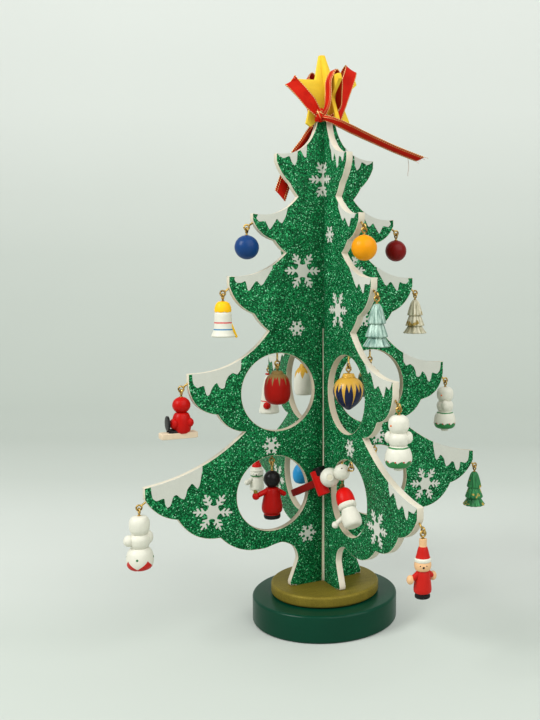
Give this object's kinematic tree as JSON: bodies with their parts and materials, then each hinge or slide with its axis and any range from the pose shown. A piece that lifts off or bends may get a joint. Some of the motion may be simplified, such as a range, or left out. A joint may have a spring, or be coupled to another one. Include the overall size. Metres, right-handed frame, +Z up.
{
  "type": "wooden christmas tree",
  "caption": "Tabletop tree of crossed, slotted wooden panels on a round base, with a star, a ribbon bow and small turned ornaments that swing from screw eyes.",
  "frame": {"origin": "centre of the base's underside, on the surface that it stands on", "axes": "+Z up; X along one panel and Y along the other; -Y is the wing that points most nearly to the viewer in the picture"},
  "size_m": [0.214, 0.2083, 0.3],
  "materials": {
    "panel_green": "glitter paint",
    "base_green": "satin paint",
    "collar_gold": "gold paint",
    "star_yellow": "matt paint",
    "ribbon_red": "satin",
    "eye_brass": "aged",
    "white_paint": "gloss paint",
    "red_paint": "gloss paint",
    "green_paint": "gloss paint",
    "blue_paint": "gloss paint",
    "navy_paint": "gloss paint",
    "yellow_paint": "gloss paint",
    "pearl_paint": "pearl paint",
    "teal_paint": "pearl paint"
  },
  "bodies": {
    "tree": {"base_disc": "base_green", "collar_disc": "collar_gold", "panel_1": "panel_green", "panel_2": "panel_green", "star_plate_1": "star_yellow", "star_plate_2": "star_yellow", "ribbon_bow": "ribbon_red", "eye_b_2": "eye_brass", "eye_b_3": "eye_brass", "eye_b_4": "eye_brass", "eye_b_5": "eye_brass", "eye_b_lower": "eye_brass", "eye_b_upper": "eye_brass", "eye_f_2": "eye_brass", "eye_f_3": "eye_brass", "eye_f_4": "eye_brass", "eye_f_5": "eye_brass", "eye_f_bear": "eye_brass", "eye_f_lower": "eye_brass", "eye_f_upper": "eye_brass", "eye_l_2": "eye_brass", "eye_l_3": "eye_brass", "eye_l_4": "eye_brass", "eye_l_5": "eye_brass", "eye_l_lower": "eye_brass", "eye_l_upper": "eye_brass", "eye_r_2": "eye_brass", "eye_r_3": "eye_brass", "eye_r_4": "eye_brass", "eye_r_5": "eye_brass", "eye_r_lower": "eye_brass", "eye_r_upper": "eye_brass"},
    "b2_ball": {"ornament_b2_ball": "green_paint"},
    "b3_bell": {"ornament_b3_bell": "white_paint"},
    "b4_figure": {"ornament_b4_figure": "white_paint"},
    "b5_figure": {"ornament_b5_figure": "white_paint"},
    "b_lower_egg": {"ornament_b_lower_egg": "blue_paint"},
    "b_upper_onion": {"ornament_b_upper_onion": "white_paint"},
    "doll": {"ornament_doll": "white_paint"},
    "f2_ball": {"ornament_f2_ball": "yellow_paint"},
    "f3_pine": {"ornament_f3_pine": "teal_paint"},
    "f4_snowman": {"ornament_f4_snowman": "white_paint"},
    "f5_figure": {"ornament_f5_figure": "red_paint"},
    "f_lower_bear": {"ornament_f_lower_bear": "white_paint"},
    "f_upper_onion": {"ornament_f_upper_onion": "navy_paint"},
    "l2_ball": {"ornament_l2_ball": "blue_paint"},
    "l3_bell": {"ornament_l3_bell": "white_paint"},
    "l4_sledger": {"ornament_l4_sledger": "red_paint"},
    "l5_snowman": {"ornament_l5_snowman": "white_paint"},
    "l_lower_soldier": {"ornament_l_lower_soldier": "red_paint"},
    "l_upper_onion": {"ornament_l_upper_onion": "red_paint"},
    "r2_ball": {"ornament_r2_ball": "red_paint"},
    "r3_pine": {"ornament_r3_pine": "pearl_paint"},
    "r4_snowman": {"ornament_r4_snowman": "white_paint"},
    "r5_pine": {"ornament_r5_pine": "green_paint"},
    "r_lower_egg": {"ornament_r_lower_egg": "yellow_paint"},
    "r_upper_onion": {"ornament_r_upper_onion": "green_paint"}
  },
  "joints": [
    {"name": "b2_ball_swing", "type": "hinge", "parent": "tree", "child": "b2_ball", "pos_m": [0, 0.04366, 0.20893], "axis": [0, 1, 0], "range_deg": [-25, 25]},
    {"name": "b3_bell_swing", "type": "hinge", "parent": "tree", "child": "b3_bell", "pos_m": [0, 0.05651, 0.17584], "axis": [0, 1, 0], "range_deg": [-25, 25]},
    {"name": "b4_figure_swing", "type": "hinge", "parent": "tree", "child": "b4_figure", "pos_m": [0, 0.07827, 0.12899], "axis": [0, 1, 0], "range_deg": [-25, 25]},
    {"name": "b5_figure_swing", "type": "hinge", "parent": "tree", "child": "b5_figure", "pos_m": [0, 0.09983, 0.07221], "axis": [0, 1, 0], "range_deg": [-25, 25]},
    {"name": "b_lower_egg_swing", "type": "hinge", "parent": "tree", "child": "b_lower_egg", "pos_m": [0, 0.03081, 0.0883], "axis": [0, 1, 0], "range_deg": [-25, 25]},
    {"name": "b_upper_onion_swing", "type": "hinge", "parent": "tree", "child": "b_upper_onion", "pos_m": [0, 0.02749, 0.1394], "axis": [0, 1, 0], "range_deg": [-25, 25]},
    {"name": "doll_swing", "type": "hinge", "parent": "tree", "child": "doll", "pos_m": [0, -0.03081, 0.0883], "axis": [0.9024, 0.4309, 0], "range_deg": [0, 4]},
    {"name": "f2_ball_swing", "type": "hinge", "parent": "tree", "child": "f2_ball", "pos_m": [0, -0.04366, 0.20893], "axis": [0, -1, 0], "range_deg": [-25, 25]},
    {"name": "f3_pine_swing", "type": "hinge", "parent": "tree", "child": "f3_pine", "pos_m": [0, -0.05651, 0.17584], "axis": [0, -1, 0], "range_deg": [-25, 25]},
    {"name": "f4_snowman_swing", "type": "hinge", "parent": "tree", "child": "f4_snowman", "pos_m": [0, -0.07787, 0.12504], "axis": [0, -1, 0], "range_deg": [-25, 25]},
    {"name": "f5_figure_swing", "type": "hinge", "parent": "tree", "child": "f5_figure", "pos_m": [0, -0.09983, 0.07221], "axis": [0, -1, 0], "range_deg": [-25, 25]},
    {"name": "f_lower_bear_swing", "type": "hinge", "parent": "tree", "child": "f_lower_bear", "pos_m": [0, -0.02051, 0.08543], "axis": [0, -1, 0], "range_deg": [-2, 20]},
    {"name": "f_upper_onion_swing", "type": "hinge", "parent": "tree", "child": "f_upper_onion", "pos_m": [0, -0.02749, 0.1394], "axis": [0, -1, 0], "range_deg": [-25, 25]},
    {"name": "l2_ball_swing", "type": "hinge", "parent": "tree", "child": "l2_ball", "pos_m": [-0.04366, 0, 0.20893], "axis": [-1, 0, 0], "range_deg": [-25, 25]},
    {"name": "l3_bell_swing", "type": "hinge", "parent": "tree", "child": "l3_bell", "pos_m": [-0.05651, 0, 0.17584], "axis": [-1, 0, 0], "range_deg": [-25, 25]},
    {"name": "l4_sledger_swing", "type": "hinge", "parent": "tree", "child": "l4_sledger", "pos_m": [-0.07827, 0, 0.12899], "axis": [-1, 0, 0], "range_deg": [-25, 25]},
    {"name": "l5_snowman_swing", "type": "hinge", "parent": "tree", "child": "l5_snowman", "pos_m": [-0.09983, 0, 0.07221], "axis": [-1, 0, 0], "range_deg": [-25, 25]},
    {"name": "l_lower_soldier_swing", "type": "hinge", "parent": "tree", "child": "l_lower_soldier", "pos_m": [-0.03081, 0, 0.0883], "axis": [-1, 0, 0], "range_deg": [-25, 25]},
    {"name": "l_upper_onion_swing", "type": "hinge", "parent": "tree", "child": "l_upper_onion", "pos_m": [-0.02749, 0, 0.1394], "axis": [-1, 0, 0], "range_deg": [-25, 25]},
    {"name": "r2_ball_swing", "type": "hinge", "parent": "tree", "child": "r2_ball", "pos_m": [0.04366, 0, 0.20893], "axis": [1, 0, 0], "range_deg": [-25, 25]},
    {"name": "r3_pine_swing", "type": "hinge", "parent": "tree", "child": "r3_pine", "pos_m": [0.05651, 0, 0.17584], "axis": [1, 0, 0], "range_deg": [-25, 25]},
    {"name": "r4_snowman_swing", "type": "hinge", "parent": "tree", "child": "r4_snowman", "pos_m": [0.07787, 0, 0.12504], "axis": [1, 0, 0], "range_deg": [-25, 25]},
    {"name": "r5_pine_swing", "type": "hinge", "parent": "tree", "child": "r5_pine", "pos_m": [0.09983, 0, 0.07221], "axis": [1, 0, 0], "range_deg": [-25, 25]},
    {"name": "r_lower_egg_swing", "type": "hinge", "parent": "tree", "child": "r_lower_egg", "pos_m": [0.03081, 0, 0.0883], "axis": [1, 0, 0], "range_deg": [-25, 25]},
    {"name": "r_upper_onion_swing", "type": "hinge", "parent": "tree", "child": "r_upper_onion", "pos_m": [0.02749, 0, 0.1394], "axis": [1, 0, 0], "range_deg": [-25, 25]}
  ]
}
